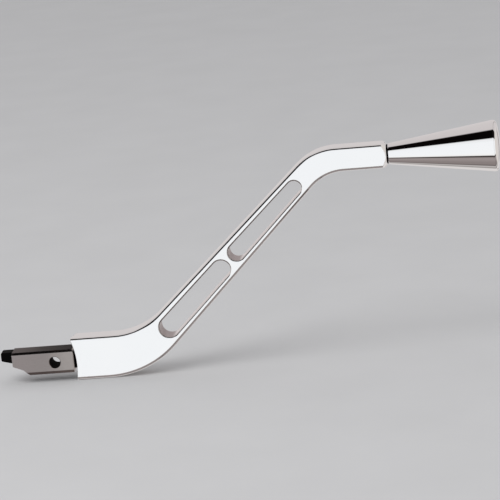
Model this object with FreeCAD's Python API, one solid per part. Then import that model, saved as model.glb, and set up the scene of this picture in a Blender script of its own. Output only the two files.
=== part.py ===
import FreeCAD, Part
import math
import os

# Column shift lever, millimetres. The origin is the centre of the pivot bore in the steel tang.
# +X runs along the tang towards the knob, +Y is the pivot axis, +Z is up, the way the arm rises.

V = FreeCAD.Vector
AXIS_X = V(1, 0, 0)
AXIS_Y = V(0, 1, 0)
AXIS_Z = V(0, 0, 1)
ORIGIN = V(0, 0, 0)
INCH = 25.4
FAR = 60.0                       # reach of a cutting solid past the stock it trims

# Arm: a slab sawn from flat bar, level at both ends with a tapering diagonal between them
ARM_THICKNESS = INCH / 2
ROOT_TOP = 13.1                  # upper edge of the level stretch beside the tang
ROOT_BOTTOM = -11.3
NECK_HEIGHT = 13.5               # height of the level stretch beside the knob
KNOB_AXIS_RISE = 103.5
TOP_KNEE_X = 50.3                # where the straight edges would meet before the bends are rounded
BOTTOM_KNEE_X = 53.2
TOP_SHOULDER_X = 155.7
BOTTOM_SHOULDER_X = 161.6
TOP_KNEE_RADIUS = 39.5
BOTTOM_KNEE_RADIUS = 55.5
TOP_SHOULDER_RADIUS = 32.5
BOTTOM_SHOULDER_RADIUS = 25.5
ARM_EDGE_ROUNDING = 2.0
NECK_END_X = 196.3
NECK_END_RADIUS = 5.95           # where the 45 degree turned chamfer meets the end face

# Root end of the arm: a shallow cylindrical scoop that clears the shift collar, skewed in plan
SCOOP_X = 12.6                   # deepest point of the scoop on the front face
SCOOP_Z = -2.6                   # height of that deepest point
SCOOP_RADIUS = 46.0
SCOOP_SKEW = math.tan(math.radians(12.0))

# Two through slots along the diagonal: distance from the lower knee and end radius at each end
LOWER_SLOT = ((21.2, 5.65), (65.8, 5.25))
UPPER_SLOT = ((79.3, 4.75), (127.9, 4.10))
SLOT_EDGE_ROUNDING = 1.1

# Pivot tang: half inch steel bar with a tenon into the arm
TANG_START_X = -24.2
TANG_SHOULDER_X = 11.3
TANG_TOP = 6.8
TANG_BOTTOM = -6.8
TANG_THICKNESS = INCH / 2
TANG_CHAMFER = 1.3               # how far the chamfers of the long edges reach into the thickness
UPPER_CHAMFER_HEIGHT = 1.15
LOWER_CHAMFER_HEIGHT = 1.9
TANG_SHOULDER_BULGE = 1.0        # how far the shoulder's middle stands out past its corners
TANG_CORNER_ROUNDING = 1.3
PIVOT_BORE_RADIUS = INCH / 8
PIVOT_BORE_CHAMFER = 0.3
RELIEF = ((-15.0, TANG_BOTTOM), (-18.2, -3.5), (TANG_START_X, -1.0))    # stepped relief under the gate end
TENON_HEIGHT = 9.5
TENON_THICKNESS = INCH / 4
TENON_END_X = 31.0
FIT_CLEARANCE = 0.03             # per side, between pieces that are assembled and stay put

# Gate tip: nylon nose with a stem in a socket in the tang, held by a cross pin
TIP_START_X = -30.9
TIP_TOP = 6.75
TIP_THICKNESS = 7.0
TIP_CORNER = 0.8
TIP_EDGE_CHAMFER = 0.5
TIP_NOSE_BOTTOM = 1.8
TIP_ROOT_BOTTOM = 0.1
STEM_END_X = -15.5
STEM_BOTTOM = 1.6
STEM_TOP = 5.0
STEM_THICKNESS = 3.4
TIP_PIN_X = -19.5
TIP_PIN_RADIUS = 1.0
TIP_PIN_FRONT_Y = -2.6           # the pin holes are blind, so the front faces stay unbroken

# Fastenings of the tenon in the arm
DOWEL_XS = (17.5, 26.5)
DOWEL_RADIUS = INCH / 16
DOWEL_FRONT_Y = -4.0
PIN_RECESS = 0.15
SET_SCREW_X = 22.0
SET_SCREW_RADIUS = 2.413         # number 10 thread
SET_SCREW_LENGTH = 5.4
SET_SCREW_SOCKET = 2.38          # across the flats of the hexagon
SET_SCREW_SOCKET_DEPTH = 2.4

# Knob, on a 5/16-18 stud that is fixed in the neck
STUD_RADIUS = 3.95
STUD_START_X = 176.9
STUD_END_X = 214.9
STUD_CHAMFER = 0.8
THREAD_RUNNING_CLEARANCE = 0.05
WASHER_THICKNESS = 0.7
WASHER_RADIUS = 5.3
SEAT_GAP = 0.05                  # daylight each side of the washer
KNOB_SMALL_RADIUS = 5.7
KNOB_LARGE_RADIUS = 14.15
KNOB_RIM_X = 255.3
KNOB_END_X = 258.5
KNOB_DOME_RADIUS = 60.0
KNOB_RIM_ROUNDING = 2.4
KNOB_SMALL_CHAMFER = 0.4
KNOB_BORE_DEPTH = 19.5

HALF_ARM = ARM_THICKNESS / 2
HALF_TANG = TANG_THICKNESS / 2
NECK_TOP = KNOB_AXIS_RISE + NECK_HEIGHT / 2
NECK_BOTTOM = KNOB_AXIS_RISE - NECK_HEIGHT / 2
WASHER_START_X = NECK_END_X + SEAT_GAP
KNOB_START_X = WASHER_START_X + WASHER_THICKNESS + SEAT_GAP


def side_point(x, z, y=0.0):
    return V(x, y, z)


def corner_arc(before, corner, after, radius):
    """Arc of the given radius tangent to both edges that meet at a corner."""
    towards_before = (before - corner).normalize()
    towards_after = (after - corner).normalize()
    half_angle = towards_before.getAngle(towards_after) / 2
    reach = radius / math.tan(half_angle)
    start = corner + towards_before * reach
    end = corner + towards_after * reach
    inward = (towards_before + towards_after).normalize()
    middle = corner + inward * (radius / math.sin(half_angle) - radius)
    return start, middle, end


def outline(corners):
    """Closed wire through (point, radius) corners; a radius of zero leaves the corner sharp."""
    edges = []
    runs = []
    count = len(corners)
    for index, (point, radius) in enumerate(corners):
        if radius == 0:
            runs.append((point, point))
            continue
        before = corners[index - 1][0]
        after = corners[(index + 1) % count][0]
        start, middle, end = corner_arc(before, point, after, radius)
        edges.append(Part.Arc(start, middle, end).toShape())
        runs.append((start, end))
    for index in range(count):
        line_start = runs[index][1]
        line_end = runs[(index + 1) % count][0]
        edges.append(Part.LineSegment(line_start, line_end).toShape())
    return Part.Wire(Part.__sortEdges__(edges))


def prism(wire, direction):
    return Part.Face(wire).extrude(direction)


def side_prism(points, half_thickness):
    """Slab with a sharp-cornered side outline of (x, z) points, centred on the XZ plane."""
    corners = [(side_point(x, z, -half_thickness), 0) for x, z in points]
    return prism(outline(corners), AXIS_Y * (2 * half_thickness))


def box_between(low, high):
    return Part.makeBox(high[0] - low[0], high[1] - low[1], high[2] - low[2], V(*low))


def cross_cylinder(x, z, radius, y_low, y_high):
    return Part.makeCylinder(radius, y_high - y_low, V(x, y_low, z), AXIS_Y)


def revolve_about_knob_axis(points):
    """Solid of revolution from (x, radius) points about the knob's axis."""
    corners = [(side_point(x, KNOB_AXIS_RISE + radius), 0) for x, radius in points]
    face = Part.Face(outline(corners))
    return face.revolve(side_point(0, KNOB_AXIS_RISE), AXIS_X, 360)


def flat_side_face(solid, y):
    """The largest flat face of a solid that lies in the plane y."""
    level = [face for face in solid.Faces
             if abs(face.BoundBox.YMin - y) < 1e-6 and abs(face.BoundBox.YMax - y) < 1e-6]
    return max(level, key=lambda face: face.Area)


def arm_slab():
    """Side outline of the arm, extruded, past its finished length at both ends."""
    neck_end = NECK_END_X + 2
    corners = [
        (side_point(0, ROOT_BOTTOM, -HALF_ARM), 0),
        (side_point(BOTTOM_KNEE_X, ROOT_BOTTOM, -HALF_ARM), BOTTOM_KNEE_RADIUS),
        (side_point(BOTTOM_SHOULDER_X, NECK_BOTTOM, -HALF_ARM), BOTTOM_SHOULDER_RADIUS),
        (side_point(neck_end, NECK_BOTTOM, -HALF_ARM), 0),
        (side_point(neck_end, NECK_TOP, -HALF_ARM), 0),
        (side_point(TOP_SHOULDER_X, NECK_TOP, -HALF_ARM), TOP_SHOULDER_RADIUS),
        (side_point(TOP_KNEE_X, ROOT_TOP, -HALF_ARM), TOP_KNEE_RADIUS),
        (side_point(0, ROOT_TOP, -HALF_ARM), 0),
    ]
    return prism(outline(corners), AXIS_Y * ARM_THICKNESS)


def long_edges(slab):
    """Edges that follow the arm's upper and lower outline on both of its flat faces."""
    edges = []
    for y in (-HALF_ARM, HALF_ARM):
        for edge in flat_side_face(slab, y).OuterWire.Edges:
            if edge.BoundBox.XLength > 1e-6:
                edges.append(edge)
    return edges


def slot_mouth_edges(arm):
    edges = []
    for y in (-HALF_ARM, HALF_ARM):
        face = flat_side_face(arm, y)
        for wire in face.Wires:
            if not wire.isSame(face.OuterWire):
                edges.extend(wire.Edges)
    return edges


def diagonal_point(distance):
    """Point on the middle line of the diagonal, at a distance from the lower knee."""
    lower_knee = side_point((TOP_KNEE_X + BOTTOM_KNEE_X) / 2, (ROOT_TOP + ROOT_BOTTOM) / 2)
    upper_knee = side_point((TOP_SHOULDER_X + BOTTOM_SHOULDER_X) / 2, KNOB_AXIS_RISE)
    return lower_knee + (upper_knee - lower_knee).normalize() * distance


def tapered_slot(slot):
    """Through cutter with a round end of its own radius at each end and straight sides between."""
    (lower_distance, lower_radius), (upper_distance, upper_radius) = slot
    lower = diagonal_point(lower_distance)
    upper = diagonal_point(upper_distance)
    along = (upper - lower).normalize()
    across = V(-along.z, 0, along.x)
    lean = (lower_radius - upper_radius) / (upper - lower).Length
    square = math.sqrt(1 - lean * lean)
    left_normal = across * square + along * lean
    right_normal = across * -square + along * lean
    lower_arc = Part.Arc(lower + left_normal * lower_radius,
                         lower - along * lower_radius,
                         lower + right_normal * lower_radius)
    upper_arc = Part.Arc(upper + right_normal * upper_radius,
                         upper + along * upper_radius,
                         upper + left_normal * upper_radius)
    right_side = Part.LineSegment(lower_arc.EndPoint, upper_arc.StartPoint)
    left_side = Part.LineSegment(upper_arc.EndPoint, lower_arc.StartPoint)
    edges = [part.toShape() for part in (lower_arc, right_side, upper_arc, left_side)]
    cutter = prism(Part.Wire(edges), AXIS_Y * (2 * FAR))
    cutter.translate(AXIS_Y * -FAR)
    return cutter


def scoop_cutter():
    """Everything left of the arm's root end: a skewed cylinder, seen from the side as a shallow arc."""
    reach = 25.0
    corner_x = SCOOP_X - SCOOP_RADIUS + math.sqrt(SCOOP_RADIUS ** 2 - reach ** 2)
    upper = side_point(corner_x, SCOOP_Z + reach)
    lower = side_point(corner_x, SCOOP_Z - reach)
    far_upper = side_point(-FAR, SCOOP_Z + reach)
    far_lower = side_point(-FAR, SCOOP_Z - reach)
    edges = [
        Part.Arc(lower, side_point(SCOOP_X, SCOOP_Z), upper).toShape(),
        Part.LineSegment(upper, far_upper).toShape(),
        Part.LineSegment(far_upper, far_lower).toShape(),
        Part.LineSegment(far_lower, lower).toShape(),
    ]
    margin = 5.0
    cutter = prism(Part.Wire(edges), V(SCOOP_SKEW, 1, 0) * (ARM_THICKNESS + 2 * margin))
    cutter.translate(V(-SCOOP_SKEW * margin, -HALF_ARM - margin, 0))
    return cutter


def neck_end_cutter():
    """Everything past the end face of the neck and outside its 45 degree turned chamfer."""
    return revolve_about_knob_axis([
        (NECK_END_X, 0),
        (NECK_END_X, NECK_END_RADIUS),
        (NECK_END_X - 15, NECK_END_RADIUS + 15),
        (NECK_END_X + 15, NECK_END_RADIUS + 15),
        (NECK_END_X + 15, 0),
    ])


def stud_bore(start_x, end_x, radius):
    """Tapped bore on the knob's axis, with a drill point at its start and a countersunk mouth."""
    return revolve_about_knob_axis([
        (start_x - radius / 2, 0),
        (start_x, radius),
        (end_x - STUD_CHAMFER, radius),
        (end_x, radius + STUD_CHAMFER),
        (end_x + 1, radius + STUD_CHAMFER),
        (end_x + 1, 0),
    ])


def tenon(clearance, start_x, end_x):
    half_y = TENON_THICKNESS / 2 + clearance
    half_z = TENON_HEIGHT / 2 + clearance
    return box_between((start_x, -half_y, -half_z), (end_x, half_y, half_z))


def dowel_holes():
    holes = [cross_cylinder(x, 0, DOWEL_RADIUS + FIT_CLEARANCE / 3, DOWEL_FRONT_Y, FAR)
             for x in DOWEL_XS]
    return Part.makeCompound(holes)


def set_screw_hole():
    base = V(SET_SCREW_X, 0, ROOT_BOTTOM - 1)
    return Part.makeCylinder(SET_SCREW_RADIUS + FIT_CLEARANCE, -ROOT_BOTTOM + 1, base, AXIS_Z)


def lever_arm():
    slab = arm_slab()
    rounded = slab.makeFillet(ARM_EDGE_ROUNDING, long_edges(slab))
    slotted = rounded.cut([tapered_slot(LOWER_SLOT), tapered_slot(UPPER_SLOT)])
    eased = slotted.makeFillet(SLOT_EDGE_ROUNDING, slot_mouth_edges(slotted))
    shaped = eased.cut([scoop_cutter(), neck_end_cutter()])
    pocket = tenon(FIT_CLEARANCE, 0, TENON_END_X + 0.5)
    bore = stud_bore(STUD_START_X - 0.3, NECK_END_X, STUD_RADIUS + FIT_CLEARANCE)
    return shaped.cut([pocket, bore, dowel_holes(), set_screw_hole()])


def tang_section():
    """Bar section, seen along the bar, with chamfered long edges."""
    flat_y = HALF_TANG - TANG_CHAMFER
    upper_z = TANG_TOP - UPPER_CHAMFER_HEIGHT
    lower_z = TANG_BOTTOM + LOWER_CHAMFER_HEIGHT
    half = [(flat_y, TANG_BOTTOM), (HALF_TANG, lower_z), (HALF_TANG, upper_z), (flat_y, TANG_TOP)]
    mirrored = [(-y, z) for y, z in reversed(half)]
    corners = [(V(-FAR, y, z), 0) for y, z in half + mirrored]
    return prism(outline(corners), AXIS_X * (2 * FAR))


def tang_side():
    """Side outline of the bar: square gate end with its relief, bowed shoulder towards the arm."""
    corner_x = TANG_SHOULDER_X - TANG_SHOULDER_BULGE
    edges = []
    top_left = side_point(TANG_START_X, TANG_TOP)
    top_right = side_point(corner_x, TANG_TOP)
    bottom_right = side_point(corner_x, TANG_BOTTOM)
    lower_run = [bottom_right] + [side_point(x, z) for x, z in RELIEF] + [top_left]
    edges.append(Part.LineSegment(top_left, top_right).toShape())
    edges.append(Part.Arc(top_right, side_point(TANG_SHOULDER_X, 0), bottom_right).toShape())
    for start, end in zip(lower_run, lower_run[1:]):
        edges.append(Part.LineSegment(start, end).toShape())
    slab = prism(Part.Wire(edges), AXIS_Y * TANG_THICKNESS)
    slab.translate(AXIS_Y * -HALF_TANG)
    return slab


def tang_plan():
    """Plan outline of the bar, which rounds the two upright corners of the shoulder."""
    left = TANG_START_X - 1
    right = TANG_SHOULDER_X
    corners = [
        (V(left, -HALF_TANG, -FAR), 0),
        (V(right, -HALF_TANG, -FAR), TANG_CORNER_ROUNDING),
        (V(right, HALF_TANG, -FAR), TANG_CORNER_ROUNDING),
        (V(left, HALF_TANG, -FAR), 0),
    ]
    return prism(outline(corners), AXIS_Z * (2 * FAR))


def pivot_bore():
    """Bore along Y with a small chamfer at both mouths."""
    plain = cross_cylinder(0, 0, PIVOT_BORE_RADIUS, -FAR, FAR)
    wide = PIVOT_BORE_RADIUS + PIVOT_BORE_CHAMFER
    mouths = [Part.makeCone(wide, PIVOT_BORE_RADIUS, PIVOT_BORE_CHAMFER,
                            V(0, side * HALF_TANG, 0), V(0, -side, 0)) for side in (-1, 1)]
    return plain.fuse(mouths)


def gate_stem(clearance):
    half_y = STEM_THICKNESS / 2 + clearance
    low = (TANG_START_X - 1, -half_y, STEM_BOTTOM - clearance)
    high = (STEM_END_X + clearance, half_y, STEM_TOP + clearance)
    return box_between(low, high)


def tip_pin_hole():
    z = (STEM_BOTTOM + STEM_TOP) / 2
    return cross_cylinder(TIP_PIN_X, z, TIP_PIN_RADIUS + FIT_CLEARANCE / 3, TIP_PIN_FRONT_Y, FAR)


def pivot_tang():
    bar = tang_section().common(tang_side()).common(tang_plan())
    joined = bar.fuse(tenon(0, TANG_SHOULDER_X - 3, TENON_END_X))
    return joined.cut([pivot_bore(), gate_stem(FIT_CLEARANCE), tip_pin_hole(), dowel_holes()])


def gate_tip():
    nose_points = [
        (TANG_START_X - FIT_CLEARANCE, TIP_ROOT_BOTTOM),
        (TIP_START_X + TIP_CORNER, TIP_NOSE_BOTTOM),
        (TIP_START_X, TIP_NOSE_BOTTOM + TIP_CORNER),
        (TIP_START_X, TIP_TOP - TIP_CORNER),
        (TIP_START_X + TIP_CORNER, TIP_TOP),
        (TANG_START_X - FIT_CLEARANCE, TIP_TOP),
    ]
    nose = side_prism(nose_points, TIP_THICKNESS / 2)
    rim = [edge for edge in nose.Edges
           if edge.BoundBox.YLength < 1e-6 and edge.BoundBox.XMin < TANG_START_X - 0.1]
    eased = nose.makeChamfer(TIP_EDGE_CHAMFER, rim)
    return eased.fuse(gate_stem(0)).cut(tip_pin_hole())


def pin(x, z, radius, y_low, y_high):
    """Cross pin with both ends chamfered by a quarter of its radius."""
    chamfer = radius / 4
    body = cross_cylinder(x, z, radius, y_low, y_high)
    rims = [edge for edge in body.Edges if edge.BoundBox.YLength < 1e-6]
    return body.makeChamfer(chamfer, rims)


def gate_tip_pin():
    z = (STEM_BOTTOM + STEM_TOP) / 2
    return pin(TIP_PIN_X, z, TIP_PIN_RADIUS, TIP_PIN_FRONT_Y + PIN_RECESS, HALF_TANG - PIN_RECESS)


def tang_dowels():
    dowels = [pin(x, 0, DOWEL_RADIUS, DOWEL_FRONT_Y + PIN_RECESS, HALF_ARM - PIN_RECESS)
              for x in DOWEL_XS]
    return Part.makeCompound(dowels)


def tang_set_screw():
    """Cup point set screw, driven from below, with its point against the tenon."""
    tip_z = -TENON_HEIGHT / 2 - FIT_CLEARANCE
    base_z = tip_z - SET_SCREW_LENGTH
    body = Part.makeCylinder(SET_SCREW_RADIUS, SET_SCREW_LENGTH, V(SET_SCREW_X, 0, base_z), AXIS_Z)
    eased = body.makeChamfer(0.5, [edge for edge in body.Edges if edge.BoundBox.ZLength < 1e-6])
    across_corners = SET_SCREW_SOCKET / math.cos(math.pi / 6)
    hexagon = [(V(SET_SCREW_X + across_corners / 2 * math.cos(math.radians(60 * turn)),
                  across_corners / 2 * math.sin(math.radians(60 * turn)),
                  base_z - 1), 0) for turn in range(6)]
    socket = prism(outline(hexagon), AXIS_Z * (SET_SCREW_SOCKET_DEPTH + 1))
    cup = Part.makeCone(0, 1.4, 0.8, V(SET_SCREW_X, 0, tip_z - 0.8), AXIS_Z)
    return eased.cut([socket, cup])


def knob_stud():
    return revolve_about_knob_axis([
        (STUD_START_X, 0),
        (STUD_START_X, STUD_RADIUS - STUD_CHAMFER),
        (STUD_START_X + STUD_CHAMFER, STUD_RADIUS),
        (STUD_END_X - STUD_CHAMFER, STUD_RADIUS),
        (STUD_END_X, STUD_RADIUS - STUD_CHAMFER),
        (STUD_END_X, 0),
    ])


def seating_washer():
    bore = STUD_RADIUS + 2 * THREAD_RUNNING_CLEARANCE
    end_x = WASHER_START_X + WASHER_THICKNESS
    edge = 0.15
    return revolve_about_knob_axis([
        (WASHER_START_X, bore),
        (WASHER_START_X, WASHER_RADIUS - edge),
        (WASHER_START_X + edge, WASHER_RADIUS),
        (end_x - edge, WASHER_RADIUS),
        (end_x, WASHER_RADIUS - edge),
        (end_x, bore),
    ])


def knob():
    """Turned truncated cone with a slightly domed end, a rounded rim and a blind tapped bore."""
    slope = (KNOB_LARGE_RADIUS - KNOB_SMALL_RADIUS) / (KNOB_RIM_X - KNOB_START_X)
    dome_centre = side_point(KNOB_END_X - KNOB_DOME_RADIUS, KNOB_AXIS_RISE)
    cone = revolve_about_knob_axis([
        (KNOB_START_X, 0),
        (KNOB_START_X, KNOB_SMALL_RADIUS - KNOB_SMALL_CHAMFER),
        (KNOB_START_X + KNOB_SMALL_CHAMFER, KNOB_SMALL_RADIUS + slope * KNOB_SMALL_CHAMFER),
        (KNOB_END_X, KNOB_SMALL_RADIUS + slope * (KNOB_END_X - KNOB_START_X)),
        (KNOB_END_X, 0),
    ])
    body = cone.common(Part.makeSphere(KNOB_DOME_RADIUS, dome_centre))
    rim = [edge for edge in body.Edges
           if edge.BoundBox.XLength < 1e-3 and edge.BoundBox.XMin > KNOB_RIM_X]
    rounded = body.makeFillet(KNOB_RIM_ROUNDING, rim)
    bore_radius = STUD_RADIUS + THREAD_RUNNING_CLEARANCE
    bore_end = KNOB_START_X + KNOB_BORE_DEPTH
    bore = revolve_about_knob_axis([
        (KNOB_START_X - 1, 0),
        (KNOB_START_X - 1, bore_radius + STUD_CHAMFER),
        (KNOB_START_X, bore_radius + STUD_CHAMFER),
        (KNOB_START_X + STUD_CHAMFER, bore_radius),
        (bore_end, bore_radius),
        (bore_end + bore_radius / 2, 0),
    ])
    return rounded.cut(bore)


PIECES = {
    "lever_arm": lever_arm,
    "pivot_tang": pivot_tang,
    "gate_tip": gate_tip,
    "gate_tip_pin": gate_tip_pin,
    "tang_dowels": tang_dowels,
    "tang_set_screw": tang_set_screw,
    "knob_stud": knob_stud,
    "seating_washer": seating_washer,
    "knob": knob,
}

os.makedirs("parts", exist_ok=True)
for name, make in PIECES.items():
    shape = make()
    print(name, "valid", shape.isValid(), "solids", len(shape.Solids), "volume", round(shape.Volume, 1))
    shape.exportStep("parts/" + name + ".step")
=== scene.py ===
import math

import bmesh
import bpy
from mathutils import Matrix, Vector


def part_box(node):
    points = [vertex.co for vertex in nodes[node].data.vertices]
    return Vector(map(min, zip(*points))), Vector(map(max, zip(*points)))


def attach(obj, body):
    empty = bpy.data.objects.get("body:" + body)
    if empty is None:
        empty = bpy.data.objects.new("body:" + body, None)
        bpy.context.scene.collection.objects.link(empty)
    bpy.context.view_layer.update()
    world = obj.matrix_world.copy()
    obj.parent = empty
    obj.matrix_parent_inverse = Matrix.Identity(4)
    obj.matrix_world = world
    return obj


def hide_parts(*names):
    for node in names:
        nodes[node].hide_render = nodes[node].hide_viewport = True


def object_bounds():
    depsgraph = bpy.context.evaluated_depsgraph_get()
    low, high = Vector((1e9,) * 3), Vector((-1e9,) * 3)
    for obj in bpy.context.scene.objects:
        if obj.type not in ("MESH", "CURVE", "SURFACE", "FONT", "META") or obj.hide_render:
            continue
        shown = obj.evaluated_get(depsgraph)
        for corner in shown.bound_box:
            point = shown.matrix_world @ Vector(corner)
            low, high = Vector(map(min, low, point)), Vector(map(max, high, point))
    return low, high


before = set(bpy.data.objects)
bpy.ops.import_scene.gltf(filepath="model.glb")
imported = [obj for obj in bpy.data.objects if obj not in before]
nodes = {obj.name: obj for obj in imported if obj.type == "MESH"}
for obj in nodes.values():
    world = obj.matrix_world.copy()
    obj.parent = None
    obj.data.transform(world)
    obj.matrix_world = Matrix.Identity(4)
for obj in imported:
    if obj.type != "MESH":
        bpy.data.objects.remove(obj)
cad_low, cad_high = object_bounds()
MM = 0.001
INCH = 25.4 * MM
TURN = 2 * math.pi

# ---------------------------------------------------------------- camera
VIEW_AZIMUTH = 6.5
VIEW_ELEVATION = 13.7
VIEW_ROLL = 5.8
VIEW_DISTANCE = 1.5
FIELD_WIDTH = 0.278              # width seen at the lever
SENSOR_WIDTH = 36.0
VIEW_TARGET = Vector((0.11585, 0, 0.05511))


def make_camera():
    azimuth = math.radians(VIEW_AZIMUTH)
    elevation = math.radians(VIEW_ELEVATION)
    roll = math.radians(VIEW_ROLL)
    back = Vector((math.sin(azimuth) * math.cos(elevation),
                   -math.cos(azimuth) * math.cos(elevation),
                   math.sin(elevation)))
    level_right = (-back).cross(Vector((0, 0, 1))).normalized()
    level_up = level_right.cross(-back)
    right = level_right * math.cos(roll) - level_up * math.sin(roll)
    up = level_up * math.cos(roll) + level_right * math.sin(roll)
    data = bpy.data.cameras.new("camera")
    data.sensor_width = SENSOR_WIDTH
    data.lens = SENSOR_WIDTH * VIEW_DISTANCE / FIELD_WIDTH
    data.clip_start = 0.01
    data.clip_end = 50
    camera = bpy.data.objects.new("camera", data)
    turn = Matrix((right, up, back)).transposed().to_4x4()
    camera.matrix_world = Matrix.Translation(VIEW_TARGET + back * VIEW_DISTANCE) @ turn
    bpy.context.scene.collection.objects.link(camera)
    bpy.context.scene.camera = camera


# ---------------------------------------------------------------- shader helpers
def new_material(name):
    material = bpy.data.materials.new(name)
    material.use_nodes = True
    tree = material.node_tree
    return material, tree, tree.nodes["Principled BSDF"]


def add(tree, kind, **settings):
    node = tree.nodes.new(kind)
    for key, value in settings.items():
        setattr(node, key, value)
    return node


def feed(tree, value, socket):
    """Links an output to a socket, or writes a plain value into it."""
    if isinstance(value, bpy.types.NodeSocket):
        tree.links.new(value, socket)
    else:
        socket.default_value = value


def calc(tree, operation, first, second=0.0, third=0.0, clamp=False):
    node = add(tree, "ShaderNodeMath", operation=operation, use_clamp=clamp)
    for socket, value in zip(node.inputs, (first, second, third)):
        feed(tree, value, socket)
    return node.outputs[0]


def between(tree, value, start, end):
    """0 below start, 1 above end, smooth between them; start may be the larger."""
    node = add(tree, "ShaderNodeMapRange", interpolation_type="SMOOTHSTEP")
    feed(tree, value, node.inputs["Value"])
    node.inputs["From Min"].default_value = start
    node.inputs["From Max"].default_value = end
    return node.outputs[0]


def spread(tree, value, low, high):
    """A 0 to 1 value put between low and high."""
    return calc(tree, "MULTIPLY_ADD", value, high - low, low)


def blend_colours(tree, factor, first, second):
    node = add(tree, "ShaderNodeMix", data_type="RGBA")
    feed(tree, factor, node.inputs["Factor"])
    for socket, colour in ((node.inputs["A"], first), (node.inputs["B"], second)):
        feed(tree, (*colour, 1) if isinstance(colour, tuple) else colour, socket)
    return node.outputs["Result"]


def ramp(tree, factor, stops):
    node = add(tree, "ShaderNodeValToRGB")
    elements = node.color_ramp.elements
    while len(elements) < len(stops):
        elements.new(0.5)
    for element, (position, colour) in zip(elements, stops):
        element.position = position
        element.color = (*colour, 1)
    feed(tree, factor, node.inputs[0])
    return node.outputs[0]


def coordinates(tree, output="Object"):
    return add(tree, "ShaderNodeTexCoord").outputs[output]


def parts_of(tree, vector):
    node = add(tree, "ShaderNodeSeparateXYZ")
    tree.links.new(vector, node.inputs[0])
    return node.outputs


def noise(tree, cells_per_mm, stretch=(1, 1, 1), detail=3.0, roughness=0.5):
    """Noise in the frame's own space; a stretch under 1 draws it out along that axis."""
    scaled = add(tree, "ShaderNodeVectorMath", operation="MULTIPLY")
    tree.links.new(coordinates(tree), scaled.inputs[0])
    scaled.inputs[1].default_value = [cells_per_mm / MM * share for share in stretch]
    node = add(tree, "ShaderNodeTexNoise")
    tree.links.new(scaled.outputs[0], node.inputs["Vector"])
    node.inputs["Scale"].default_value = 1
    node.inputs["Detail"].default_value = detail
    node.inputs["Roughness"].default_value = roughness
    return node.outputs["Fac"]


def rounded_normal(tree, radius):
    """Normals that turn smoothly across sharp edges, as a polished edge does."""
    rounded = add(tree, "ShaderNodeBevel", samples=8)
    rounded.inputs["Radius"].default_value = radius
    return rounded.outputs[0]


def edge_mask(tree, radius, full=0.10):
    """1 along sharp edges, fading to 0 at the given distance from them."""
    agree = add(tree, "ShaderNodeVectorMath", operation="DOT_PRODUCT")
    tree.links.new(rounded_normal(tree, radius), agree.inputs[0])
    tree.links.new(add(tree, "ShaderNodeNewGeometry").outputs["Normal"], agree.inputs[1])
    return between(tree, agree.outputs["Value"], 1 - full * 0.15, 1 - full)


def bump(tree, shader, height, strength, distance, under=None):
    node = add(tree, "ShaderNodeBump")
    node.inputs["Strength"].default_value = strength
    node.inputs["Distance"].default_value = distance
    tree.links.new(height, node.inputs["Height"])
    if under:
        tree.links.new(under, node.inputs["Normal"])
    tree.links.new(node.outputs[0], shader.inputs["Normal"])


# ---------------------------------------------------------------- studio
def linear(*srgb):
    """Linear colour from 8 bit display values."""
    return tuple(((v / 255 + 0.055) / 1.055) ** 2.4 if v > 10 else v / 255 / 12.92 for v in srgb)


# What the polished metal mirrors, by angle from straight ahead of the lever, up over the top to behind
STUDIO_BANDS = (
    (-180, linear(214, 208, 207)),
    (-125, linear(224, 219, 217)),
    (-116, linear(216, 212, 210)),
    (-112.5, linear(156, 149, 146)),
    (-106.5, linear(160, 153, 150)),
    (-103, linear(188, 182, 180)),
    (-96, linear(194, 188, 186)),
    (-93, linear(114, 106, 104)),
    (-89, linear(114, 106, 104)),
    (-84, linear(140, 130, 128)),
    (-74, linear(140, 130, 128)),
    (-52, linear(158, 148, 146)),
    (-43, linear(150, 140, 138)),
    (-41.5, linear(60, 51, 49)),
    (-35.5, linear(64, 55, 53)),
    (-32, linear(250, 248, 246)),
    (-20, linear(252, 253, 254)),
    (30, linear(250, 251, 253)),
    (40, linear(244, 244, 245)),
    (46, linear(228, 228, 229)),
    (47.5, linear(8, 6, 6)),
    (87, linear(9, 6, 6)),
    (92.5, linear(208, 201, 200)),
    (180, linear(214, 208, 207)),
)

# Each pair is where a soft edge of the tent starts and where it is complete. Heights are degrees on the
# scale of the bands, and places along the lever run from -1 at the tang's end to 1 at the knob's.
FLAG_FOOT = (22, 30)
FLAG_HEAD = (108, 100)
FLAG_EDGE = (-0.5, -0.6)
FLAG_COLOUR = linear(9, 6, 6)
SEAM_START = (0.26, 0.28)
SEAM_END = (0.33, 0.31)
SEAM_STRENGTH = 0.8
SEAM_COLOUR = linear(92, 85, 83)
KNOB_END_EDGE = (0.62, 0.8)
TANG_END_EDGE = (-0.92, -0.98)
END_COLOUR = linear(222, 215, 210)
DIFFUSE_LIGHT = (0.62, 0.62, 0.63)

KEY_WIDTH = 1.4
KEY_HEIGHT = 1.0
KEY_ENERGY = 14
KEY_OFFSET = Vector((-0.7, -0.9, 1.5))

FLOOR_RADIUS = 12.0
FLOOR_SIDES = 96
FLOOR_GAP = 0.2 * MM


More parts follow.
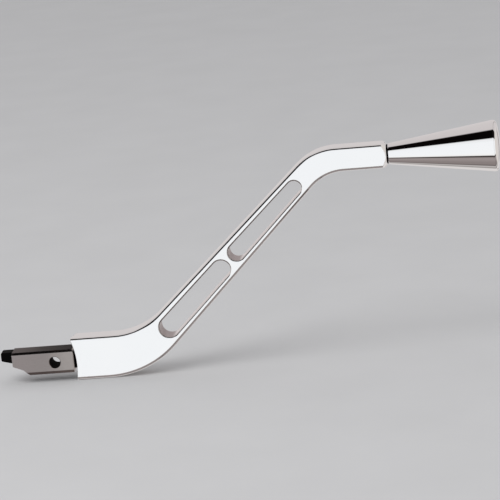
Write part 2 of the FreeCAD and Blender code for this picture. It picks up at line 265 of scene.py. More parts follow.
def make_studio_light():
    """A world that is a soft tent: bands of light around the lever's length, plain light beyond its ends,
    a dark flag towards the tang and a thin seam towards the knob."""
    world = bpy.data.worlds.new("studio")
    bpy.context.scene.world = world
    world.use_nodes = True
    tree = world.node_tree
    across, ahead, up = parts_of(tree, coordinates(tree, "Generated"))
    angle = calc(tree, "ARCTAN2", up, calc(tree, "MULTIPLY", ahead, -1.0))
    bands = ramp(tree, calc(tree, "MULTIPLY_ADD", angle, 1 / TURN, 0.5),
                 [((degrees + 180) / 360, colour) for degrees, colour in STUDIO_BANDS])
    above_foot = between(tree, angle, *map(math.radians, FLAG_FOOT))
    below_head = between(tree, angle, *map(math.radians, FLAG_HEAD))
    flag_height = calc(tree, "MULTIPLY", above_foot, below_head)
    flag = calc(tree, "MULTIPLY", flag_height, between(tree, across, *FLAG_EDGE))
    tent = blend_colours(tree, flag, bands, FLAG_COLOUR)
    seam = calc(tree, "MULTIPLY", between(tree, across, *SEAM_START), between(tree, across, *SEAM_END))
    tent = blend_colours(tree, calc(tree, "MULTIPLY", seam, SEAM_STRENGTH), tent, SEAM_COLOUR)
    knob_end = between(tree, across, *KNOB_END_EDGE)
    tang_end = between(tree, across, *TANG_END_EDGE)
    tent = blend_colours(tree, calc(tree, "MAXIMUM", knob_end, tang_end), tent, END_COLOUR)
    path = add(tree, "ShaderNodeLightPath")
    seen = blend_colours(tree, path.outputs["Is Diffuse Ray"], tent, DIFFUSE_LIGHT)
    tree.links.new(seen, tree.nodes["Background"].inputs["Color"])


def make_key_light(target):
    data = bpy.data.lights.new("key", "AREA")
    data.shape = "RECTANGLE"
    data.size = KEY_WIDTH
    data.size_y = KEY_HEIGHT
    data.energy = KEY_ENERGY
    light = bpy.data.objects.new("key", data)
    light.location = target + KEY_OFFSET
    light.rotation_mode = "QUATERNION"
    light.rotation_quaternion = (target - light.location).to_track_quat("-Z", "Y")
    light.visible_glossy = False
    bpy.context.scene.collection.objects.link(light)


def make_floor():
    z = cad_low.z - FLOOR_GAP
    turns = [TURN * side / FLOOR_SIDES for side in range(FLOOR_SIDES)]
    ring = [(FLOOR_RADIUS * math.cos(turn), FLOOR_RADIUS * math.sin(turn), z) for turn in turns]
    mesh = bpy.data.meshes.new("floor")
    mesh.from_pydata(ring, [], [list(range(FLOOR_SIDES))])
    floor = bpy.data.objects.new("floor", mesh)
    material, tree, shader = new_material("floor")
    grain = noise(tree, 0.02, detail=2.0)
    feed(tree, blend_colours(tree, grain, (0.60, 0.60, 0.605), (0.64, 0.64, 0.645)),
         shader.inputs["Base Color"])
    shader.inputs["Roughness"].default_value = 0.9
    shader.inputs["Specular IOR Level"].default_value = 0.1
    mesh.materials.append(material)
    floor.visible_glossy = False
    bpy.context.scene.collection.objects.link(floor)


# ---------------------------------------------------------------- materials
DIAGONAL_FOOT = Vector((51.75 * MM, 0, 0.9 * MM))       # where the arm's level and sloping middle lines meet
DIAGONAL_HEAD = Vector((158.65 * MM, 0, 103.5 * MM))
SLOT_SPAN = (14 * MM, 133 * MM)
SLOT_REACH = 6.6 * MM
# How squarely a surface faces front or back, at the start and at the full strength of each mask
WALL_FACING = (0.55, 0.25)
MOUTH_FACING = (0.975, 0.91)
SHADED_LEAN = (0.22, 0.12)


def dot(tree, vector, direction):
    node = add(tree, "ShaderNodeVectorMath", operation="DOT_PRODUCT")
    tree.links.new(vector, node.inputs[0])
    node.inputs[1].default_value = direction
    return node.outputs["Value"]


def slot_masks(tree):
    """Two masks, both 0 on the outside of the arm: 1 on the slots' walls, and 1 on their rounded mouth edges
    where they don't face up, which is where painted shade goes."""
    along = (DIAGONAL_HEAD - DIAGONAL_FOOT).normalized()
    across = Vector((-along.z, 0, along.x))
    place = coordinates(tree)
    distance = calc(tree, "SUBTRACT", dot(tree, place, along), DIAGONAL_FOOT.dot(along))
    aside = calc(tree, "SUBTRACT", dot(tree, place, across), DIAGONAL_FOOT.dot(across))
    offset = calc(tree, "ABSOLUTE", aside)
    facing = calc(tree, "ABSOLUTE", parts_of(tree, coordinates(tree, "Normal"))["Y"])
    inside = calc(tree, "LESS_THAN", offset, SLOT_REACH)
    started = calc(tree, "GREATER_THAN", distance, SLOT_SPAN[0])
    unfinished = calc(tree, "LESS_THAN", distance, SLOT_SPAN[1])
    span = calc(tree, "MULTIPLY", started, unfinished)
    region = calc(tree, "MULTIPLY", inside, span)
    walls = between(tree, facing, *WALL_FACING)
    shaded_mouths = calc(tree, "MULTIPLY", between(tree, facing, *MOUTH_FACING), calc(tree, "SUBTRACT", 1.0, walls))
    shaded = between(tree, dot(tree, coordinates(tree, "Normal"), across), *SHADED_LEAN)
    shaded_mouths = calc(tree, "MULTIPLY", shaded_mouths, shaded)
    return calc(tree, "MULTIPLY", region, walls), calc(tree, "MULTIPLY", region, shaded_mouths)


def slot_end_mask(tree):
    """1 on the round ends of the slots, where the surface faces along the diagonal."""
    along = (DIAGONAL_HEAD - DIAGONAL_FOOT).normalized()
    facing = calc(tree, "ABSOLUTE", dot(tree, coordinates(tree, "Normal"), along))
    return between(tree, facing, 0.15, 0.6)


def polished_aluminium():
    """Hand polished billet: near mirror outside, duller cutter-finished walls in the slots, and painted
    shade on the slot mouth edges that don't face up.
    """
    material, tree, shader = new_material("polished_aluminium")
    walls, shaded_mouths = slot_masks(tree)
    clouds = noise(tree, 0.045, detail=4.0)
    rub = noise(tree, 2.2, stretch=(0.05, 1, 0.6), detail=5.0, roughness=0.65)
    chatter = noise(tree, 3.0, stretch=(1, 0.06, 1), detail=3.0)
    wear = calc(tree, "MULTIPLY", edge_mask(tree, 0.35 * MM), between(tree, noise(tree, 0.8), 0.42, 0.6))
    outside = blend_colours(tree, clouds, (0.90, 0.912, 0.925), (0.925, 0.93, 0.935))
    side_wall = blend_colours(tree, chatter, (0.89, 0.86, 0.855), (0.97, 0.95, 0.945))
    # The slots' round ends are coloured darker and browner than their straight walls.
    end_wall = blend_colours(tree, chatter, (0.34, 0.29, 0.29), (0.48, 0.425, 0.425))
    wall = blend_colours(tree, slot_end_mask(tree), side_wall, end_wall)
    colour = blend_colours(tree, walls, outside, wall)
    # Painted shade: a dark colour on the slot mouth edges that don't face up.
    lip_shade = blend_colours(tree, clouds, (0.19, 0.165, 0.16), (0.27, 0.24, 0.235))
    colour = blend_colours(tree, calc(tree, "MULTIPLY", shaded_mouths, 0.8), colour, lip_shade)
    worn = blend_colours(tree, calc(tree, "MULTIPLY", wear, 0.6), colour, (0.97, 0.97, 0.97))
    feed(tree, worn, shader.inputs["Base Color"])
    shader.inputs["Metallic"].default_value = 1
    gloss = calc(tree, "ADD", spread(tree, rub, 0.015, 0.065), calc(tree, "MULTIPLY", wear, 0.12))
    feed(tree, calc(tree, "ADD", gloss, calc(tree, "MULTIPLY", walls, 0.26)), shader.inputs["Roughness"])
    height = calc(tree, "ADD", calc(tree, "MULTIPLY", rub, 0.35), calc(tree, "MULTIPLY", walls, chatter))
    bump(tree, shader, height, 0.05, 0.02 * MM, under=rounded_normal(tree, 0.4 * MM))
    return material


def mirror_aluminium():
    """Turned and buffed: fine rings around the axis under a mirror finish."""
    material, tree, shader = new_material("mirror_aluminium")
    clouds = noise(tree, 0.06, detail=4.0)
    rings = noise(tree, 6.0, stretch=(1, 0.01, 0.01), detail=3.0)
    rub = noise(tree, 1.4, stretch=(0.12, 1, 1), detail=5.0, roughness=0.65)
    wear = calc(tree, "MULTIPLY", edge_mask(tree, 0.3 * MM), between(tree, noise(tree, 0.9), 0.4, 0.6))
    colour = blend_colours(tree, clouds, (0.905, 0.915, 0.925), (0.93, 0.93, 0.935))
    worn = blend_colours(tree, calc(tree, "MULTIPLY", wear, 0.5), colour, (0.97, 0.97, 0.97))
    feed(tree, worn, shader.inputs["Base Color"])
    shader.inputs["Metallic"].default_value = 1
    gloss = calc(tree, "ADD", spread(tree, rub, 0.012, 0.05), calc(tree, "MULTIPLY", wear, 0.1))
    feed(tree, gloss, shader.inputs["Roughness"])
    height = calc(tree, "ADD", calc(tree, "MULTIPLY", rub, 0.5), calc(tree, "MULTIPLY", rings, 0.5))
    bump(tree, shader, height, 0.04, 0.015 * MM)
    return material


def steel_surface_noise(tree):
    brush = noise(tree, 4.0, stretch=(0.07, 1, 1), detail=5.0, roughness=0.7)
    mottle = noise(tree, 0.5, detail=4.0, roughness=0.6)
    specks = noise(tree, 1.6, detail=2.0)
    return brush, mottle, specks


def satin_steel():
    """Brushed cheeks and chamfers, with edges worn bright."""
    material, tree, shader = new_material("satin_steel")
    x = parts_of(tree, coordinates(tree))["X"]
    normal = parts_of(tree, coordinates(tree, "Normal"))
    brush, mottle, specks = steel_surface_noise(tree)
    # The cheek is coloured darker towards the gate end and lighter towards the shoulder.
    left_half = blend_colours(tree, between(tree, x, -22 * MM, -8 * MM),
                              (0.262, 0.226, 0.223), (0.250, 0.222, 0.216))
    cheek = blend_colours(tree, between(tree, x, -6 * MM, 9 * MM), left_half, (0.385, 0.355, 0.335))
    cheek = blend_colours(tree, spread(tree, mottle, 0.0, 0.45), cheek, (0.22, 0.19, 0.185))
    cheek = blend_colours(tree, spread(tree, brush, 0.0, 0.35), cheek, (0.50, 0.47, 0.46))
    wear = calc(tree, "MULTIPLY", edge_mask(tree, 0.25 * MM), between(tree, noise(tree, 1.1), 0.35, 0.6))
    feed(tree, blend_colours(tree, calc(tree, "MULTIPLY", wear, 0.7), cheek, (0.66, 0.63, 0.62)),
         shader.inputs["Base Color"])
    shader.inputs["Metallic"].default_value = 1
    chamfer = calc(tree, "MULTIPLY", between(tree, calc(tree, "ABSOLUTE", normal["Y"]), 0.95, 0.88),
                   between(tree, calc(tree, "ABSOLUTE", normal["Z"]), 0.4, 0.5))
    rough = calc(tree, "SUBTRACT", spread(tree, brush, 0.24, 0.40), calc(tree, "MULTIPLY", chamfer, 0.17))
    feed(tree, rough, shader.inputs["Roughness"])
    height = calc(tree, "ADD", calc(tree, "MULTIPLY", brush, 0.7), calc(tree, "MULTIPLY", specks, 0.3))
    bump(tree, shader, height, 0.25, 0.03 * MM)
    return material


def rolled_steel():
    """As-rolled top and bottom of the bar: dark scale, with painted shade making it darker towards the arm.
    """
    material, tree, shader = new_material("rolled_steel")
    x = parts_of(tree, coordinates(tree))["X"]
    brush, mottle, specks = steel_surface_noise(tree)
    # Painted shade: the scale's colour darkens towards the arm.
    scale_and_shade = ramp(tree, between(tree, x, -24 * MM, 11 * MM),
                 [(0.0, (0.115, 0.096, 0.092)), (0.45, (0.046, 0.039, 0.037)), (1.0, (0.011, 0.008, 0.008))])
    scale_and_shade = blend_colours(tree, spread(tree, mottle, 0.0, 0.4), scale_and_shade, (0.030, 0.025, 0.024))
    feed(tree, blend_colours(tree, spread(tree, specks, 0.0, 0.2), scale_and_shade, (0.10, 0.085, 0.08)),
         shader.inputs["Base Color"])
    feed(tree, spread(tree, brush, 0.5, 0.75), shader.inputs["Roughness"])
    shader.inputs["Specular IOR Level"].default_value = 0.08
    bump(tree, shader, calc(tree, "ADD", mottle, calc(tree, "MULTIPLY", specks, 0.4)), 0.3, 0.04 * MM)
    return material


def painted_shade_steel():
    """Painted shade: a near-black colour on the bore wall, shoulder end and tenon, which are in deep shade.
    """
    material, tree, shader = new_material("painted_shade_steel")
    brush, mottle, specks = steel_surface_noise(tree)
    shade_colour = blend_colours(tree, mottle, (0.0028, 0.0023, 0.0021), (0.0075, 0.0065, 0.006))
    feed(tree, blend_colours(tree, spread(tree, specks, 0.0, 0.35), shade_colour, (0.012, 0.010, 0.009)),
         shader.inputs["Base Color"])
    feed(tree, spread(tree, brush, 0.7, 0.9), shader.inputs["Roughness"])
    shader.inputs["Specular IOR Level"].default_value = 0.04
    bump(tree, shader, specks, 0.25, 0.03 * MM)
    return material


def black_nylon():
    """Moulded nylon: fine matt texture, edges rubbed slightly shiny."""
    material, tree, shader = new_material("black_nylon")
    mottle = noise(tree, 0.7, detail=4.0)
    grain = noise(tree, 7.0, detail=3.0, roughness=0.6)
    wear = calc(tree, "MULTIPLY", edge_mask(tree, 0.4 * MM), between(tree, noise(tree, 1.2), 0.4, 0.65))
    colour = blend_colours(tree, mottle, (0.0015, 0.0014, 0.0013), (0.0030, 0.0027, 0.0026))
    feed(tree, blend_colours(tree, wear, colour, (0.0065, 0.006, 0.0058)), shader.inputs["Base Color"])
    feed(tree, calc(tree, "SUBTRACT", spread(tree, grain, 0.45, 0.7), calc(tree, "MULTIPLY", wear, 0.15)),
         shader.inputs["Roughness"])
    shader.inputs["Specular IOR Level"].default_value = 0.035
    bump(tree, shader, grain, 0.35, 0.03 * MM)
    return material


def fastener_steel(name, dark, light, roughness, tint=None):
    """Steel of a screw or pin: speckled colour, fine bump and brighter edges."""
    material, tree, shader = new_material(name)
    mottle = noise(tree, 0.9, detail=4.0)
    grain = noise(tree, 5.0, detail=3.0, roughness=0.6)
    colour = blend_colours(tree, mottle, dark, light)
    if tint:
        colour = blend_colours(tree, between(tree, noise(tree, 0.18), 0.4, 0.65), colour, tint)
    wear = calc(tree, "MULTIPLY", edge_mask(tree, 0.12 * MM), between(tree, noise(tree, 2.0), 0.35, 0.6))
    bright = tuple(min(1.0, 1.5 * share + 0.08) for share in light)
    worn = blend_colours(tree, calc(tree, "MULTIPLY", wear, 0.7), colour, bright)
    feed(tree, worn, shader.inputs["Base Color"])
    shader.inputs["Metallic"].default_value = 1
    feed(tree, spread(tree, grain, roughness - 0.06, roughness + 0.1), shader.inputs["Roughness"])
    bump(tree, shader, grain, 0.2, 0.02 * MM)
    return material


MATERIALS = {
    "polished_aluminium": polished_aluminium(),
    "mirror_aluminium": mirror_aluminium(),
    "satin_steel": satin_steel(),
    "rolled_steel": rolled_steel(),
    "painted_shade_steel": painted_shade_steel(),
    "black_nylon": black_nylon(),
    "pin_steel": fastener_steel("pin_steel", (0.44, 0.43, 0.43), (0.56, 0.555, 0.55), 0.22),
    "black_oxide_steel": fastener_steel("black_oxide_steel", (0.012, 0.012, 0.014),
                                        (0.035, 0.034, 0.036), 0.32),
    "zinc_plated_steel": fastener_steel("zinc_plated_steel", (0.56, 0.57, 0.59), (0.68, 0.69, 0.70), 0.18,
                                        tint=(0.66, 0.62, 0.50)),
}


# ---------------------------------------------------------------- mesh helpers
SHARP_ANGLE = math.radians(25)


def new_piece(name, mesh, slot_name, body):
    """Finishes a mesh as a piece: the material named by its slot name, smooth shading between creases unless
    its normals are set already, its CAD node hidden and its body attached."""
    mesh.materials.clear()
    mesh.materials.append(MATERIALS[slot_name])
    if not mesh.has_custom_normals:
        mesh.shade_smooth()
        mesh.set_sharp_from_angle(angle=SHARP_ANGLE)
    piece = bpy.data.objects.new(name + "_detail", mesh)
    bpy.context.scene.collection.objects.link(piece)
    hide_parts(name)
    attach(piece, body)
    return piece


def mesh_from(name, vertices, faces):
    mesh = bpy.data.meshes.new(name)
    mesh.from_pydata(vertices, [], faces)
    mesh.update()
    return mesh


def joined(name, meshes):
    """One mesh from several."""
    whole = bmesh.new()
    for mesh in meshes:
        whole.from_mesh(mesh)
    result = bpy.data.meshes.new(name)
    whole.to_mesh(result)
    whole.free()
    return result


AXIS_FRAMES = {
    "X": (Vector((1, 0, 0)), Vector((0, 1, 0)), Vector((0, 0, 1))),
    "Y": (Vector((0, 1, 0)), Vector((0, 0, 1)), Vector((1, 0, 0))),
    "Z": (Vector((0, 0, 1)), Vector((1, 0, 0)), Vector((0, 1, 0))),
}


def turned(name, rows, origin, axis="X", segments=192, ring=False):
    """Surface of revolution from (distance, radius) rows, where a radius may be a function of the turn.
    The profile runs with the solid on its right; a ring's last row joins its first."""
    forward, side, up = AXIS_FRAMES[axis]
    vertices = []
    loops = []
    for distance, radius in rows:
        if radius == 0:
            loops.append([len(vertices)])
            vertices.append(origin + forward * distance)
            continue
        loops.append(list(range(len(vertices), len(vertices) + segments)))
        for step in range(segments):
            share = step / segments
            reach = radius(share) if callable(radius) else radius
            out = side * math.cos(TURN * share) + up * math.sin(TURN * share)
            vertices.append(origin + forward * distance + out * reach)
    faces = []
    pairs = list(zip(loops, loops[1:]))
    if ring:
        pairs.append((loops[-1], loops[0]))
    for first, second in pairs:
        for step in range(segments):
            after = (step + 1) % segments
            if len(first) == 1:
                faces.append((first[0], second[after], second[step]))
            elif len(second) == 1:
                faces.append((first[step], first[after], second[0]))
            else:
                faces.append((first[step], first[after], second[after], second[step]))
    return mesh_from(name, vertices, faces)


def arc_rows(centre_x, centre_r, radius, start, end, steps):
    """Profile points on an arc; angles in degrees from the outward direction towards +distance."""
    rows = []
    for step in range(steps + 1):
        angle = math.radians(start + (end - start) * step / steps)
        rows.append((centre_x + radius * math.sin(angle), centre_r + radius * math.cos(angle)))
    return rows


def line_rows(start, end, steps):
    """Profile points on a line, its ends left out."""
    return [tuple(a + (b - a) * step / steps for a, b in zip(start, end)) for step in range(1, steps)]


def prism(name, outline, direction, origin=Vector()):
    """Solid with a flat polygon outline of vectors, drawn out along a direction."""
    count = len(outline)
    vertices = [origin + point for point in outline] + [origin + point + direction for point in outline]
    faces = [list(range(count))[::-1], list(range(count, 2 * count))]
    for index in range(count):
        after = (index + 1) % count
        faces.append((index, after, count + after, count + index))
    mesh = mesh_from(name, vertices, faces)
    shell = bmesh.new()
    shell.from_mesh(mesh)
    bmesh.ops.recalc_face_normals(shell, faces=shell.faces)
    shell.to_mesh(mesh)
    shell.free()
    return mesh


def box_prism(name, low, high):
    corners = [Vector((low[0], low[1], low[2])), Vector((high[0], low[1], low[2])),
               Vector((high[0], high[1], low[2])), Vector((low[0], high[1], low[2]))]
    return prism(name, corners, Vector((0, 0, high[2] - low[2])))


def rounded_outline(corners, steps=8):
    """Points of a closed outline in the XZ plane from (x, z, radius) corners."""
    points = []
    count = len(corners)
    for index, (x, z, radius) in enumerate(corners):
        corner = Vector((x, 0, z))
        if radius == 0:
            points.append(corner)
            continue
        before = Vector((corners[index - 1][0], 0, corners[index - 1][1]))
        after = Vector((corners[(index + 1) % count][0], 0, corners[(index + 1) % count][1]))
        back = (before - corner).normalized()
        on = (after - corner).normalized()
        half = back.angle(on) / 2
        centre = corner + (back + on).normalized() * (radius / math.sin(half))
        first = corner + back * (radius / math.tan(half)) - centre
        last = corner + on * (radius / math.tan(half)) - centre
        sweep = first.angle(last)
        for step in range(steps + 1):
            share = step / steps
            bow = (first * math.sin(sweep * (1 - share)) + last * math.sin(sweep * share)) / math.sin(sweep)
            points.append(centre + bow)
    return points


def carve(name, base, changes, edge_width, edge_steps=3):
    """Applies (operation, mesh) booleans to a mesh, then rounds its sharp edges and keeps its flats flat."""
    base.shade_smooth()
    body = bpy.data.objects.new(name + "_blank", base)
    bpy.context.scene.collection.objects.link(body)
    tools = []
    for operation, mesh in changes:
        mesh.shade_smooth()
        tool = bpy.data.objects.new(name + "_tool", mesh)
        bpy.context.scene.collection.objects.link(tool)
        tools.append(tool)
        step = body.modifiers.new("cut", "BOOLEAN")
        step.operation = operation
        step.solver = "EXACT"
        step.object = tool
    bevel = body.modifiers.new("edges", "BEVEL")
    bevel.width = edge_width
    bevel.segments = edge_steps
    bevel.limit_method = "ANGLE"
    bevel.angle_limit = SHARP_ANGLE
    normals = body.modifiers.new("normals", "WEIGHTED_NORMAL")
    normals.keep_sharp = False
    normals.weight = 100
    bpy.context.view_layer.update()
    graph = bpy.context.evaluated_depsgraph_get()
    result = bpy.data.meshes.new_from_object(body.evaluated_get(graph))
    result.name = name
    for helper in [body] + tools:
        bpy.data.objects.remove(helper)
    return result


# ---------------------------------------------------------------- threads
PITCH = INCH / 18
THREAD_DEPTH = 0.62 * MM
ROWS_PER_PITCH = 12
THREAD_FLANK = 0.64              # shares of half a pitch: a flank, and how far out a groove opens
OUTER_GROOVE = 0.82
INNER_GROOVE = 0.76
THREAD_RUNOUT = 0.7              # pitches over which a thread fades out


def thread_radius(distance, crest, depth, pitch, inward=False):
    """Radius, as a function of the turn, of a right-hand thread at a distance along its axis."""
    groove = INNER_GROOVE if inward else OUTER_GROOVE

    def radius(share):
        phase = (distance / pitch - share) % 1
        ridge = abs(2 * phase - 1)
        drop = min(1.0, max(0.0, (groove - ridge) / THREAD_FLANK))
        return crest - depth * drop
    return radius


def thread_rows(start, end, crest, depth, pitch, inward=False):
    """Rows of a thread from start to end that fades out towards both ends."""
    steps = max(2, round(abs(end - start) / pitch * ROWS_PER_PITCH))
    rows = []
    for step in range(steps + 1):
        distance = start + (end - start) * step / steps
        margin = min(abs(distance - start), abs(end - distance))
        fade = min(1.0, margin / (THREAD_RUNOUT * pitch))
        rows.append((distance, thread_radius(distance, crest, depth * fade, pitch, inward)))
    return rows


# ---------------------------------------------------------------- knob, stud and washer
KNOB_SMALL_RADIUS = 5.7 * MM
KNOB_LARGE_RADIUS = 14.15 * MM
KNOB_RIM_FROM_END = 3.2 * MM
KNOB_DOME_RADIUS = 60 * MM
KNOB_RIM_ROUNDING = 2.4 * MM
KNOB_SMALL_CHAMFER = 0.4 * MM
KNOB_BORE_DEPTH = 19.5 * MM
KNOB_BORE_RADIUS = 4.0 * MM
MOUTH_CHAMFER = 0.8 * MM

knob_low, knob_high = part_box("knob")
axis_origin = Vector((0, 0, (knob_low.z + knob_high.z) / 2))


def knob_skin():
    """Outer profile: small end, cone, rounded rim tangent to the cone and to the domed end."""
    start = knob_low.x
    slope = (KNOB_LARGE_RADIUS - KNOB_SMALL_RADIUS) / (knob_high.x - KNOB_RIM_FROM_END - start)
    lean = math.hypot(1, slope)
    along = Vector((1 / lean, slope / lean))
    outward = Vector((-slope / lean, 1 / lean))
    corner = Vector((start + KNOB_SMALL_CHAMFER, KNOB_SMALL_RADIUS + slope * KNOB_SMALL_CHAMFER))
    dome_centre = Vector((knob_high.x - KNOB_DOME_RADIUS, 0))
    from_dome = corner - outward * KNOB_RIM_ROUNDING - dome_centre
    half = from_dome.dot(along)
    inner = KNOB_DOME_RADIUS - KNOB_RIM_ROUNDING
    reach = -half + math.sqrt(half * half - from_dome.length_squared + inner * inner)
    rim_centre = from_dome + along * reach + dome_centre
    cone_end = rim_centre + outward * KNOB_RIM_ROUNDING
    rim_start = math.degrees(math.atan2(outward.x, outward.y))
    towards_rim = rim_centre - dome_centre
    rim_end = math.degrees(math.atan2(towards_rim.x, towards_rim.y))
    support = (cone_end - along * 0.06 * MM).to_tuple()
    rows = [(start, KNOB_SMALL_RADIUS - KNOB_SMALL_CHAMFER), corner.to_tuple()]
    rows += line_rows(corner, support, 48) + [support]
    rows += arc_rows(rim_centre.x, rim_centre.y, KNOB_RIM_ROUNDING, rim_start, rim_end, 20)
    rows += arc_rows(dome_centre.x, 0, KNOB_DOME_RADIUS, rim_end, 90, 24)[1:-1]
    return rows + [(knob_high.x, 0)]


def make_knob():
    """Skin and threaded bore, kept to the CAD knob's own width at its widest."""
    start = knob_low.x
    bottom = start + KNOB_BORE_DEPTH
    bore = [(bottom + KNOB_BORE_RADIUS / 2, 0)]
    bore += thread_rows(bottom, start + MOUTH_CHAMFER, KNOB_BORE_RADIUS, THREAD_DEPTH, PITCH, inward=True)
    bore += [(start, KNOB_BORE_RADIUS + MOUTH_CHAMFER)]
    widest = min(knob_high.y, -knob_low.y)
    rows = bore + [(distance, min(radius, widest)) for distance, radius in knob_skin()]
    new_piece("knob", turned("knob", rows, axis_origin), "mirror_aluminium", "knob")


def make_stud():
    low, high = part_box("knob_stud")
    radius = (high.z - low.z) / 2
    chamfer = 0.8 * MM
    rows = [(low.x, 0), (low.x, radius - chamfer)]
    rows += thread_rows(low.x + chamfer, high.x - chamfer, radius, THREAD_DEPTH, PITCH)
    rows += [(high.x, radius - chamfer), (high.x, 0)]
    new_piece("knob_stud", turned("knob_stud", rows, axis_origin, segments=96), "zinc_plated_steel", "lever")


def make_washer():
    low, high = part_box("seating_washer")
    outer = (high.z - low.z) / 2
    bore = 4.05 * MM
    edge = 0.15 * MM
    rows = [(low.x, bore)]
    rows += arc_rows(low.x + edge, outer - edge, edge, -90, 0, 5)
    rows += arc_rows(high.x - edge, outer - edge, edge, 0, 90, 5)
    rows += [(high.x, bore)]
    new_piece("seating_washer", turned("seating_washer", rows, axis_origin, ring=True),
              "black_nylon", "washer")


# ---------------------------------------------------------------- tang and gate tip
TANG_CHAMFER = 1.3 * MM
UPPER_CHAMFER_HEIGHT = 1.15 * MM
LOWER_CHAMFER_HEIGHT = 1.9 * MM
TANG_SHOULDER_X = 11.3 * MM
SHOULDER_BULGE = 1.0 * MM
SHOULDER_ROUNDING = 1.3 * MM
RELIEF_START_X = -15.0 * MM
RELIEF_STEP = Vector((-18.2 * MM, 0, -3.5 * MM))
RELIEF_END_Z = -1.0 * MM
PIVOT_RADIUS = INCH / 8
PIVOT_CHAMFER = 0.3 * MM
TENON = Vector((0, 3.175 * MM, 4.75 * MM))
STEM_START_X = -15.5 * MM
STEM_HALF_THICKNESS = 1.7 * MM
STEM_HEIGHTS = (1.6 * MM, 5.0 * MM)
POCKET_CLEARANCE = 0.03 * MM
PRESS_CLEARANCE = 0.01 * MM
TANG_EDGE_WIDTH = 0.12 * MM
ROLLED_INDEX = 1
PAINTED_SHADE_INDEX = 2
REACH = 0.05

tang_low, tang_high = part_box("pivot_tang")


def cross_hole(name, x, z, radius, front, back, segments=64):
    rows = [(front, 0), (front, radius), (back, radius), (back, 0)]
    return turned(name, rows, Vector((x, 0, z)), axis="Y", segments=segments)


def stem_pin_hole():
    """Blind from the back, through the tang's rear cheek and the gate tip's stem."""
    low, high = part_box("gate_tip_pin")
    return cross_hole("pin_hole", (low.x + high.x) / 2, (low.z + high.z) / 2,
                      (high.x - low.x) / 2 + PRESS_CLEARANCE, low.y - 0.15 * MM, REACH)


def tang_bar():
    """The bar's chamfered section drawn out along its length."""
    half = tang_high.y
    flat = half - TANG_CHAMFER
    side = [(flat, tang_low.z), (half, tang_low.z + LOWER_CHAMFER_HEIGHT),
            (half, tang_high.z - UPPER_CHAMFER_HEIGHT), (flat, tang_high.z)]
    section = side + [(-y, z) for y, z in reversed(side)]
    outline = [Vector((tang_low.x, y, z)) for y, z in section]
    return prism("bar", outline, Vector((TANG_SHOULDER_X - tang_low.x, 0, 0)))


def tang_side_outline():
    """Relief under the gate end and a bowed shoulder towards the arm."""
    height = tang_high.z - tang_low.z
    middle = (tang_high.z + tang_low.z) / 2
    bow_radius = (height / 2) ** 2 / (2 * SHOULDER_BULGE) + SHOULDER_BULGE / 2
    sweep = math.asin(height / 2 / bow_radius)
    steps = 24
    bow = []
    for step in range(steps + 1):
        angle = sweep * (1 - 2 * step / steps)
        bow.append(Vector((TANG_SHOULDER_X - bow_radius * (1 - math.cos(angle)), 0,
                           middle + bow_radius * math.sin(angle))))
    start = Vector((RELIEF_START_X, 0, tang_low.z))
    end = Vector((tang_low.x, 0, RELIEF_END_Z))
    top = Vector((tang_low.x, 0, tang_high.z))
    beyond = Vector((-1 * MM, 0, 0))
    return bow + [start, RELIEF_STEP, end, end + beyond, top + beyond]


def tang_plan_outline():
    """Rounds the two upright corners of the shoulder."""
    half = tang_high.y
    corners = [(tang_low.x - 1 * MM, -half, 0), (TANG_SHOULDER_X, -half, SHOULDER_ROUNDING),
               (TANG_SHOULDER_X, half, SHOULDER_ROUNDING), (tang_low.x - 1 * MM, half, 0)]
    return [Vector((point.x, point.z, -REACH)) for point in rounded_outline(corners)]


def pivot_cutter():
    half = tang_high.y
    mouth = PIVOT_RADIUS + PIVOT_CHAMFER
    rows = [(-REACH, 0), (-REACH, mouth), (-half, mouth), (-half + PIVOT_CHAMFER, PIVOT_RADIUS),
            (half - PIVOT_CHAMFER, PIVOT_RADIUS), (half, mouth), (REACH, mouth), (REACH, 0)]
    return turned("bore", rows, Vector(), axis="Y", segments=96)


def finish_tang_surfaces(mesh):
    """Painted shade inside the bore and from the shoulder on, as-rolled scale above and below with painted
    shade towards the arm, satin elsewhere.
    """
    mesh.materials.append(MATERIALS["rolled_steel"])
    mesh.materials.append(MATERIALS["painted_shade_steel"])
    for face in mesh.polygons:
        from_axis = math.hypot(face.center.x, face.center.z)
        in_bore = from_axis < PIVOT_RADIUS + 0.05 * MM and abs(face.normal.y) < 0.5
        # Painted shade: the bore wall and everything from the shoulder on get the near-black material.
        if in_bore or face.center.x > TANG_SHOULDER_X - 0.3 * MM:
            face.material_index = PAINTED_SHADE_INDEX
        elif abs(face.normal.z) > 0.9:
            face.material_index = ROLLED_INDEX


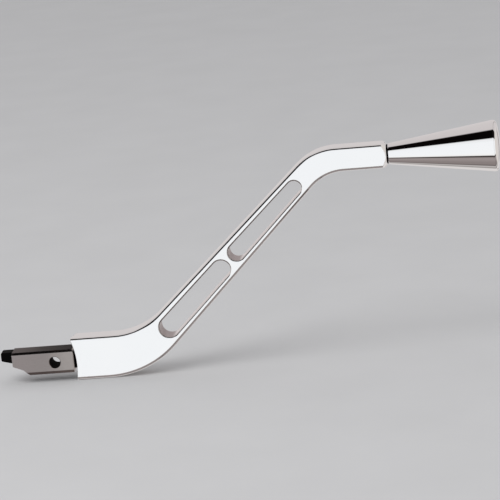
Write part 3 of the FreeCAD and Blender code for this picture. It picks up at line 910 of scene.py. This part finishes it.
def make_tang():
    side = prism("side", tang_side_outline(), Vector((0, 2 * REACH, 0)), Vector((0, -REACH, 0)))
    plan = prism("plan", tang_plan_outline(), Vector((0, 0, 2 * REACH)))
    tenon = box_prism("tenon", (TANG_SHOULDER_X - 3 * MM, -TENON.y, -TENON.z),
                      (tang_high.x, TENON.y, TENON.z))
    play = POCKET_CLEARANCE
    pocket = box_prism("pocket", (tang_low.x - 1 * MM, -STEM_HALF_THICKNESS - play, STEM_HEIGHTS[0] - play),
                       (STEM_START_X + play, STEM_HALF_THICKNESS + play, STEM_HEIGHTS[1] + play))
    dowel_low, dowel_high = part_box("tang_dowels")
    dowel_radius = (dowel_high.z - dowel_low.z) / 2
    dowel_holes = [cross_hole("dowel_hole", x, 0, dowel_radius + PRESS_CLEARANCE, -REACH, REACH)
                   for x in (dowel_low.x + dowel_radius, dowel_high.x - dowel_radius)]
    changes = [("INTERSECT", side), ("INTERSECT", plan), ("UNION", tenon), ("DIFFERENCE", pivot_cutter()),
               ("DIFFERENCE", pocket), ("DIFFERENCE", stem_pin_hole())]
    changes += [("DIFFERENCE", hole) for hole in dowel_holes]
    tang = carve("pivot_tang", tang_bar(), changes, TANG_EDGE_WIDTH)
    piece = new_piece("pivot_tang", tang, "satin_steel", "lever")
    finish_tang_surfaces(piece.data)


NOSE_HALF_THICKNESS = 3.5 * MM
NOSE_CORNER = 0.9 * MM
NOSE_BOTTOM = 1.8 * MM
NOSE_EDGE_WIDTH = 0.45 * MM


def make_gate_tip():
    low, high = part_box("gate_tip")
    root_x = tang_low.x - POCKET_CLEARANCE
    corners = [(root_x, low.z, 0), (low.x, NOSE_BOTTOM, NOSE_CORNER),
               (low.x, high.z, NOSE_CORNER), (root_x, high.z, 0)]
    outline = rounded_outline(corners)
    nose = prism("nose", outline, Vector((0, 2 * NOSE_HALF_THICKNESS, 0)),
                 Vector((0, -NOSE_HALF_THICKNESS, 0)))
    stem = box_prism("stem", (root_x - 1 * MM, -STEM_HALF_THICKNESS, STEM_HEIGHTS[0]),
                     (high.x, STEM_HALF_THICKNESS, STEM_HEIGHTS[1]))
    changes = [("UNION", stem), ("DIFFERENCE", stem_pin_hole())]
    new_piece("gate_tip", carve("gate_tip", nose, changes, NOSE_EDGE_WIDTH, 4), "black_nylon", "lever")


# ---------------------------------------------------------------- pins, dowels and set screw
def pin_mesh(name, x, z, radius, front, back):
    """Ground pin with rounded ends, lying along Y."""
    corner = radius / 4
    rows = [(front, 0), (front, (radius - corner) / 2)]
    rows += arc_rows(front + corner, radius - corner, corner, -90, 0, 6)
    rows += line_rows((front + corner, radius), (back - corner, radius), 6)
    rows += arc_rows(back - corner, radius - corner, corner, 0, 90, 6)
    rows += [(back, (radius - corner) / 2), (back, 0)]
    return turned(name, rows, Vector((x, 0, z)), axis="Y", segments=64)


def make_pins():
    low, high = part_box("gate_tip_pin")
    radius = (high.z - low.z) / 2
    pin = pin_mesh("gate_tip_pin", low.x + radius, low.z + radius, radius, low.y, high.y)
    new_piece("gate_tip_pin", pin, "pin_steel", "lever")
    low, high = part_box("tang_dowels")
    radius = (high.z - low.z) / 2
    dowels = [pin_mesh("tang_dowels", x, low.z + radius, radius, low.y, high.y)
              for x in (low.x + radius, high.x - radius)]
    new_piece("tang_dowels", joined("tang_dowels", dowels), "pin_steel", "lever")


SET_SCREW_PITCH = INCH / 32
SET_SCREW_THREAD_DEPTH = 0.42 * MM
SET_SCREW_CHAMFER = 0.5 * MM
CUP_RADIUS = 1.4 * MM
CUP_DEPTH = 0.8 * MM
SOCKET_ACROSS_FLATS = 2.38 * MM
SOCKET_START = -1.0 * MM         # along the screw from its lower face
SOCKET_LENGTH = 3.4 * MM
SOCKET_EDGE_WIDTH = 0.02 * MM


def make_set_screw():
    """Number 10 set screw along Z: thread, cup point at the top and hexagon socket at the bottom."""
    low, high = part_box("tang_set_screw")
    radius = (high.x - low.x) / 2
    chamfer = SET_SCREW_CHAMFER
    rows = [(low.z, 0), (low.z, radius - chamfer)]
    rows += thread_rows(low.z + chamfer, high.z - chamfer, radius, SET_SCREW_THREAD_DEPTH, SET_SCREW_PITCH)
    rows += [(high.z, radius - chamfer), (high.z, CUP_RADIUS), (high.z - CUP_DEPTH, 0)]
    centre = Vector(((low.x + high.x) / 2, (low.y + high.y) / 2, 0))
    body = turned("set_screw", rows, centre, axis="Z", segments=96)
    half_corners = SOCKET_ACROSS_FLATS / math.cos(math.pi / 6) / 2
    foot = centre + Vector((0, 0, low.z + SOCKET_START))
    directions = [Vector((math.cos(TURN * turn / 6), math.sin(TURN * turn / 6), 0)) for turn in range(6)]
    hexagon = [foot + direction * half_corners for direction in directions]
    socket = prism("socket", hexagon, Vector((0, 0, SOCKET_LENGTH)))
    screw = carve("tang_set_screw", body, [("DIFFERENCE", socket)], SOCKET_EDGE_WIDTH, 1)
    new_piece("tang_set_screw", screw, "black_oxide_steel", "lever")


# ---------------------------------------------------------------- scene
nodes["lever_arm"].data.materials[0] = MATERIALS["polished_aluminium"]
make_camera()
make_knob()
make_stud()
make_washer()
make_tang()
make_gate_tip()
make_pins()
make_set_screw()
bpy.context.scene.view_settings.view_transform = "Standard"
make_studio_light()
make_key_light((cad_low + cad_high) / 2)
make_floor()
